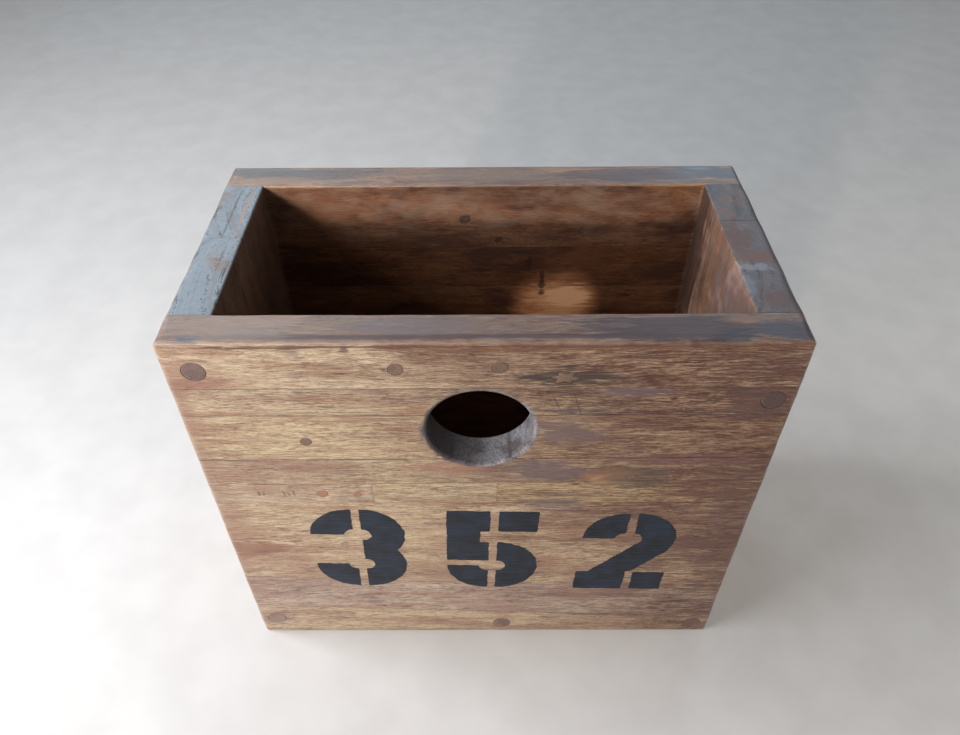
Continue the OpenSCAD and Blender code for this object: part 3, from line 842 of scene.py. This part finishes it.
# Each wall: its boards, the way their grain runs, its staining and painted light, and the colour and amount
# of clouded lacquer on its rim, which is partly painted cool sky sheen. End grain holds the most, and the
# left side is palest, which also paints the brighter sheen on that rim
WALLS = (
    (FRONT_WOOD, "x", FRONT_STAINS, ("#6e5e57", 0.7)),
    (BACK_WOOD, "x", BACK_STAINS_AND_LIGHT, ("#605755", 0.7)),
    (LEFT_WOOD, "z", LEFT_STAINS, ("#7a868d", 0.95)),
    (RIGHT_WOOD, "z", RIGHT_STAINS_LIGHT_AND_SHADE, ("#424b57", 0.75)),
    (BASE_WOOD, "x", (), ("#7c838c", 0.5)),
)
# Colour of the inside and how dark its damp patches are, by the way the grain runs
INSIDE = {"x": ("#b09080", 0.7), "z": ("#e4d4d0", 0.15)}

# The joint below the finger hole has dried out and opened on the left: start, end and radius
LOOSE = (-150, -25, 0.5)
LOOSE_TOP = {"front_strip_4": LOOSE}
LOOSE_BOTTOM = {"front_strip_3": LOOSE}

# How dark the joints read on boards whose names start like this
GLUE = {"front_strip_1": 0.85, "front_strip_3": 0.75, "front_strip_4": 0.75, "front_strip_5": 0.2,
        "left_board": 0.2, "back_strip_1": 0.7}
GLUE_ELSEWHERE = 0.4

# Plugs and pegs: how deep they go, the play round them, and how far under the face they lie
DEPTH = {"front_screw_plugs": 7.0, "back_screw_plugs": 7.0, "side_screw_plugs": 7.0,
         "front_nail_pegs": 6.0, "back_nail_pegs": 6.0}
HOLE_CLEARANCE = 0.07
FLUSH = 0.14

# A cutter starts this far outside the wood
CUT_FROM = 3.0


def screw_holes():
    """(node, middle on the face, way into the wood, radius, depth) of every plug and peg."""
    found = []
    for node, depth in DEPTH.items():
        for low, high in solids_in(node):
            middle = (low + high) / 2
            if node == "side_screw_plugs":
                axis, radius = 0, (high[1] - low[1]) / 2
                way = -math.copysign(1, middle[0])
            else:
                axis, radius = 1, (high[0] - low[0]) / 2
                way = -1 if node == "back_screw_plugs" else 1
            middle[axis] = low[axis] if way > 0 else high[axis]
            direction = np.zeros(3)
            direction[axis] = way
            found.append((node, middle, direction, radius, depth))
    return found


HOLES = screw_holes()


def bore_cutter(middle, way, radius, depth):
    """A plug's hole, with a faint flare at the face."""
    r = radius + HOLE_CLEARANCE
    flare = r + 0.1
    profile = [(0, -CUT_FROM), (flare, -CUT_FROM), (flare, 0.15), (r, 0.3), (r, depth), (0, depth)]
    return lathe(profile, middle, way, 36)


def finger_hole_cutter():
    """The finger hole, with a flare at both rims that follows their wear."""
    thick = INNER_FRONT_Y - FRONT_Y
    over = 4.0
    wide = HOLE_R + HOLE_EASE
    profile = [(0, -over), (wide, -over)]
    steps = 7
    for end, way in ((0.0, 1), (thick, -1)):
        for i in range(steps + 1)[::way]:
            a = math.pi / 2 * i / steps
            profile.append((wide - HOLE_EASE * math.sin(a), end + way * HOLE_EASE * (1 - math.cos(a))))
    profile += [(wide, thick + over), (0, thick + over)]
    return lathe(profile, (HOLE_X, FRONT_Y, HOLE_Z), (0, 1, 0), 120)


def knot_outline(width, height, seed, grow=0.0):
    """A ragged star-like outline, as (x, z) about its middle."""
    points, lobes = 40, 6
    turn = np.arange(points) * 2 * math.pi / points
    ragged_by = np.random.default_rng(seed).uniform(-0.07, 0.07, points)
    reach = 0.74 + 0.2 * np.cos(lobes * turn + 0.6) + ragged_by
    half = np.array((width, height)) / 2 + grow
    return half * reach[:, None] * np.stack([np.cos(turn), np.sin(turn)], 1)


def prism(outline, at_x, at_z, start_y, end_y, dome=0.0):
    """A closed solid through the wood with this outline, its first end slightly domed."""
    rings = []
    for share, y in ((0.6, start_y - dome * 0.7), (0.95, start_y), (1.0, start_y + 0.12), (1.0, end_y)):
        rings.append(np.insert(outline * share + [at_x, at_z], 1, y, axis=1))
    return stacked((at_x, start_y - dome, at_z), rings, (at_x, end_y, at_z))


KNOTS = [((low + high) / 2, high - low) for low, high in solids_in("knot_fillers")]
KNOT_DEPTH = 3.0
KNOT_CLEARANCE = 0.25


def near_board(node, middle, reach):
    low, high = box_mm(node)
    return bool(np.all(middle > low - reach) and np.all(middle < high + reach))


def paint_masks(piece, node):
    """Stores where the board is worn, glued and inside the box, and where the finger hole cuts it."""
    p = points_of(piece.data)
    low, high = box_mm(node)
    bottom, top = board_lines(node, p[:, 0])
    from_faces = np.stack([HALF[0] - np.abs(p[:, 0] - MIDDLE[0]), HALF[1] - np.abs(p[:, 1] - MIDDLE[1]),
                           RIM_Z - p[:, 2]], 1)
    nearest = np.sort(from_faces, axis=1)
    set_attribute(piece.data, "wear", fade(nearest[:, 1], 0.6, 4.0) * fade(nearest[:, 0], 0.3, 3.0))
    glued = np.full(len(p), 99.0)
    for distance, joined in (
            (p[:, 2] - bottom, low[2] > SAME),
            (top - p[:, 2], high[2] < RIM_Z - SAME),
            (p[:, 0] - low[0], low[0] > BOX_LO[0] + SAME),
            (high[0] - p[:, 0], high[0] < BOX_HI[0] - SAME),
            (p[:, 1] - low[1], INNER_FRONT_Y - SAME < low[1] < INNER_BACK_Y - 1),
            (high[1] - p[:, 1], INNER_FRONT_Y + 1 < high[1] < INNER_BACK_Y + SAME)):
        if joined:
            glued = np.minimum(glued, np.abs(distance))
    set_attribute(piece.data, "glue", fade(glued, 0.1, 0.65))
    gap, _ = from_opening(p)
    set_attribute(piece.data, "inside", fade(gap, 0.3, 1.0) * fade(p[:, 2], RIM_Z - 1.5, RIM_Z - 0.3))
    around = np.hypot(p[:, 0] - HOLE_X, p[:, 2] - HOLE_Z)
    in_front = p[:, 1] < INNER_FRONT_Y + 1
    set_attribute(piece.data, "bore", fade(around, HOLE_R + 0.4, HOLE_R + 2.8) * in_front)


def make_board(node, material, slot, seed):
    verts, faces = board_mesh(node, seed, LOOSE_TOP.get(node), LOOSE_BOTTOM.get(node))
    piece = new_piece(node + "_wood", verts, faces, material, slot)
    facing_out(piece)
    cutters = [bore_cutter(middle, way, radius, depth) for _, middle, way, radius, depth in HOLES
               if near_board(node, middle, radius)]
    for number, (middle, size) in enumerate(KNOTS):
        if near_board(node, middle, size[0] / 2):
            outline = knot_outline(size[0], size[2], number, KNOT_CLEARANCE)
            cutters.append(prism(outline, middle[0], middle[2], FRONT_Y - 2, FRONT_Y + KNOT_DEPTH))
    if node in FRONT_WOOD and near_board(node, np.array((HOLE_X, FRONT_Y, HOLE_Z)), HOLE_R):
        cutters.append(finger_hole_cutter())
    if cutters:
        cut(piece, cutters)
    paint_masks(piece, node)
    shade(piece)
    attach(piece, "root")
    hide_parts(node)


def stains_and_light_on(stains_and_light, low, high):
    """The stain marks and painted light that reach into the box of a board."""
    found = []
    for stain in stains_and_light:
        kind, middle, half = stain[0], stain[1:3], stain[3:5]
        reaches = all(low[a] - h < m < high[a] + h for a, m, h in zip(STAIN_AND_LIGHT_AXES[kind], middle, half))
        if reaches and (kind != "rim" or high[2] > RIM_Z - 1):
            found.append(stain)
    return found


def make_boards():
    slots = {s["node"]: s["material_slot"] for s in frame["record"]["subparts"]}
    for table, along, stains_and_light, bloom_and_sheen in WALLS:
        front = table is FRONT_WOOD
        for node, look in table.items():
            low, high = box_mm(node)
            ticks = [t for t in FRONT_TICKS if front and low[2] - t[3] < t[1] < high[2] + t[3]
                     and low[0] < t[0] < high[0]]
            glue = next((dark for start, dark in GLUE.items() if node.startswith(start)), GLUE_ELSEWHERE)
            material = wood(node + "_wood", along, *look, stains_and_light=stains_and_light_on(stains_and_light, low, high), ticks=ticks,
                            front=front, bloom_and_sheen=bloom_and_sheen, inside=INSIDE[along], glue_amount=glue,
                            contrast=1.0 if front else 0.75)
            make_board(node, material, slots[node], look[2])


# ---- Plugs, pegs, fillers and screws ----------------------------------------------------------

def plug_profile(r, depth):
    """Half outline of a plug: its face a little dished, its edges broken."""
    return [(0, FLUSH + 0.1), (r * 0.35, FLUSH + 0.08), (r * 0.7, FLUSH + 0.03), (r - 0.3, FLUSH),
            (r - 0.06, FLUSH + 0.04), (r, FLUSH + 0.14), (r, depth - 0.4), (r - 0.4, depth), (0, depth)]


def make_plugs():
    """Wooden plugs and pegs, cut off and sanded flush, each a little dished and not quite round."""
    plug_stains = (
        ("wall", 132, 213, 9, 9, "#432d27", 0.95),
        ("wall", 132, 12, 9, 9, "#5a3d33", 0.9),
        ("wall", -132, 12, 9, 9, "#8d7669", 0.6),
        ("wall", 0, 12, 9, 9, "#84675a", 0.6),
    )
    plug_wood = wood("plug_wood", "y", "#836c64", "#68534c", 61, (8, 5), "#4c3a36", 0.4, plug_stains,
                     end_dark=0.1)
    peg_wood = wood("peg_wood", "y", "#76624f", "#604c3e", 62, (6, 3), "#4c3c34", 0.3,
                    (("wall", -75, 145, 22, 7, "#996c4a", 0.8),), end_dark=0.1)
    for node in DEPTH:
        material, slot = (plug_wood, "plug") if node.endswith("plugs") else (peg_wood, "peg")
        solids = [lathe(plug_profile(radius, depth), middle, way, 40, 0.018, number)
                  for number, (owner, middle, way, radius, depth) in enumerate(HOLES) if owner == node]
        piece = new_piece(node + "_wood", *together(solids), material, slot)
        facing_out(piece)
        clean = np.zeros(len(piece.data.vertices))
        set_attribute(piece.data, "glue", clean)
        set_attribute(piece.data, "wear", clean)
        set_attribute(piece.data, "inside", clean + (node == "back_nail_pegs"))
        shade(piece)
        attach(piece, "root")
        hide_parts(node)


def make_fillers():
    solids = []
    for number, (middle, size) in enumerate(KNOTS):
        outline = knot_outline(size[0], size[2], number)
        solids.append(prism(outline, middle[0], middle[2], FRONT_Y + FLUSH, FRONT_Y + KNOT_DEPTH, 0.05))
    piece = new_piece("knot_filler_patches", *together(solids), filler(), "knot_filler")
    facing_out(piece)
    shade(piece)
    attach(piece, "root")
    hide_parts("knot_fillers")


def steel_screws():
    steel = zinc_steel()
    for node in ("panel_screws", "base_screws"):
        screws = frame["nodes"][node]
        screws.data.materials.clear()
        screws.data.materials.append(steel)


# ---- Numerals ---------------------------------------------------------------------------------

PAINT_STEP = 0.8
PAINT_GRID = 3.0
PAINT_PROUD = 0.03


def border(faces):
    """The edges that only one of the faces has, as (from, to)."""
    found = {}
    for face in faces:
        for a, b in zip(face, list(face[1:]) + [face[0]]):
            if (b, a) in found:
                del found[(b, a)]
            elif a != b:
                found[(a, b)] = True
    return list(found)


def outlines_of(node):
    """The outlines of the CAD film's front faces, as closed rings of (x, z) in mm."""
    mesh = frame["nodes"][node].data
    spots = points_of(mesh)
    keys, same = np.unique(np.round(spots[:, [0, 2]], 3), axis=0, return_inverse=True)
    same = same.reshape(-1)
    front = [[int(same[v]) for v in p.vertices] for p in mesh.polygons if p.normal.y < -0.9]
    follow = dict(border(front))
    rings = []
    while follow:
        start, at = next(iter(follow.items()))
        ring = [start]
        del follow[start]
        while at != start:
            ring.append(at)
            at = follow.pop(at)
        rings.append(keys[ring])
    return rings


def ragged(ring, seed):
    """The ring with a point every PAINT_STEP, wavering as a dabbed stencil edge does."""
    points = []
    for a, b in zip(ring, np.roll(ring, -1, axis=0)):
        count = max(1, round(float(np.linalg.norm(b - a)) / PAINT_STEP))
        points += [a + (b - a) * i / count for i in range(count)]
    points = np.array(points)
    spots = np.stack([points[:, 0], np.zeros(len(points)), points[:, 1]], 1)
    points[:, 0] += 0.22 * ripple(spots, 5, seed) + 0.12 * ripple(spots, 1.9, seed + 1)
    points[:, 1] += 0.22 * ripple(spots, 5, seed + 2) + 0.12 * ripple(spots, 1.9, seed + 3)
    return (points + np.roll(points, 1, axis=0) + np.roll(points, -1, axis=0)) / 3


def front_surface(x, z):
    """y of the sanded front face at (x, z)."""
    p = np.stack([x, np.full(len(x), FRONT_Y), z], 1)
    for node, (_, _, seed, *_) in FRONT_WOOD.items():
        low, high = box_mm(node)
        bottom, top = board_lines(node, x)
        here = (z >= bottom) & (z <= top) & (x >= low[0]) & (x <= high[0])
        if here.any():
            # The board's own corners go with its points, because hand_sand works from its height
            corners = [[low[0], 0, low[2]], [high[0], 0, high[2]]]
            p[here] = hand_sand(np.concatenate([p[here], corners]), seed)[:-2]
    return p[:, 1]


def make_numerals():
    """The painted numerals: thin films that lie on the sanded boards."""
    solids = []
    for number, ring in enumerate(outlines_of("stencil_numerals")):
        edge = ragged(ring, 200 + 10 * number)
        low, high = edge.min(0), edge.max(0)
        inside = [(x, z) for x in np.arange(low[0] + 1, high[0], PAINT_GRID)
                  for z in np.arange(low[1] + 1, high[1], PAINT_GRID)]
        spots = [Vector(p) for p in edge] + [Vector(p) for p in inside]
        loop = [(i, (i + 1) % len(edge)) for i in range(len(edge))]
        flat, _, faces, _, _, _ = delaunay_2d_cdt(spots, loop, [], 1, 1e-5)
        x, z = np.array([tuple(v) for v in flat]).T
        # The highest wood nearby, so that no uneven joint comes through the film
        y = np.min([front_surface(x, z + step) for step in (-PAINT_GRID, 0, PAINT_GRID)], axis=0)
        film = np.concatenate([np.stack([x, y - PAINT_PROUD, z], 1), np.stack([x, y + PAINT_PROUD, z], 1)])
        count = len(flat)
        skin = [list(f) for f in faces] + [[i + count for i in reversed(f)] for f in faces]
        skin += [[b, a, a + count, b + count] for a, b in border(faces)]
        solids.append((film, skin))
    piece = new_piece("stencil_number", *together(solids), stencil_paint(), "stencil_paint")
    facing_out(piece)
    shade(piece)
    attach(piece, "root")
    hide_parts("stencil_numerals")


# ---- Studio -----------------------------------------------------------------------------------

def sweep_paper():
    """Pale matt backdrop paper."""
    material, tree, place = start_material("sweep_paper")
    colour = lay(tree, linear("#bdbbb7"), (("#c3c1bd", patches(tree, place, (40, 40, 40))),))
    return finish_material(material, {"Base Color": colour, "Roughness": 0.9})


def make_floor():
    """A pale sweep: flat under the box, curving up far behind it."""
    half, rise, bend = 3000.0, 2600.0, 900.0
    outline = [(-half, 0.0), (half - bend, 0.0)]
    steps = 16
    for i in range(1, steps + 1):
        a = math.pi / 2 * i / steps
        outline.append((half - bend + bend * math.sin(a), bend - bend * math.cos(a)))
    outline.append((half, rise))
    verts = [(x, y, z) for y, z in outline for x in (-half, half)]
    faces = [[2 * i, 2 * i + 1, 2 * i + 3, 2 * i + 2] for i in range(len(outline) - 1)]
    floor = new_piece("pale_floor", np.array(verts), faces, sweep_paper())
    floor.data.polygons.foreach_set("use_smooth", [True] * len(floor.data.polygons))


def soft_light(name, place_mm, aim_mm, size_mm, watts, code):
    data = bpy.data.lights.new(name, "AREA")
    data.shape = "DISK"
    data.size = size_mm * MM
    data.energy = watts
    data.color = linear(code)[:3]
    lamp = bpy.data.objects.new(name, data)
    bpy.context.scene.collection.objects.link(lamp)
    lamp.location = Vector(place_mm) * MM
    lamp.visible_camera = False
    lamp.rotation_euler = (Vector(aim_mm) - Vector(place_mm)).to_track_quat("-Z", "Y").to_euler()


def make_lights():
    hole = Vector((HOLE_X, FRONT_Y, HOLE_Z))
    # A warm lamp, low on the left and far off: it shines through the finger hole onto the back wall
    low_lamp_at = hole + Vector((-0.349, -0.910, 0.22)) * 1600
    soft_light("low_lamp", low_lamp_at, hole, 150, 18.5, "#fff0e2")
    # A window's worth of soft light close by on the left, and cool sky light from behind on the rim
    soft_light("left_window", (-480, -260, 420), (0, 0, 150), 330, 3.0, "#f1f4fc")
    soft_light("side_window", (-900, 60, 820), (110, 0, 200), 420, 11, "#eef2fa")
    soft_light("rear_sky", (-640, 1300, 1080), (0, 0, 250), 800, 5, "#cfe0f0")
    soft_light("rear_sky_right", (620, 1250, 1000), (0, 0, 250), 900, 3.2, "#cfe0f0")
    soft_light("right_bounce", (900, 0, 130), (140, 0, 130), 200, 2.5, "#f4f2ee")
    world = bpy.data.worlds.new("studio")
    bpy.context.scene.world = world
    world.use_nodes = True
    back = world.node_tree.nodes["Background"]
    back.inputs["Color"].default_value = linear("#f0f2f6")
    back.inputs["Strength"].default_value = 0.28
    bpy.context.scene.view_settings.view_transform = "Standard"


def make_camera():
    place_mm = Vector((-0.1, -317.6, 465.6))
    tilt, yaw, roll = math.radians(-43.52), math.radians(0.41), math.radians(0.48)
    data = bpy.data.cameras.new("camera")
    data.sensor_width = 36.0
    data.lens = 28.72
    data.clip_start = 10 * MM
    camera = bpy.data.objects.new("camera", data)
    bpy.context.scene.collection.objects.link(camera)
    turn = Matrix.Rotation(yaw, 3, "Z") @ Matrix.Rotation(math.pi / 2 + tilt, 3, "X")
    turn = turn @ Matrix.Rotation(-roll, 3, "Z")
    camera.matrix_world = Matrix.Translation(place_mm * MM) @ turn.to_4x4()
    bpy.context.scene.camera = camera


make_camera()
make_boards()
make_plugs()
make_fillers()
make_numerals()
steel_screws()
make_floor()
make_lights()
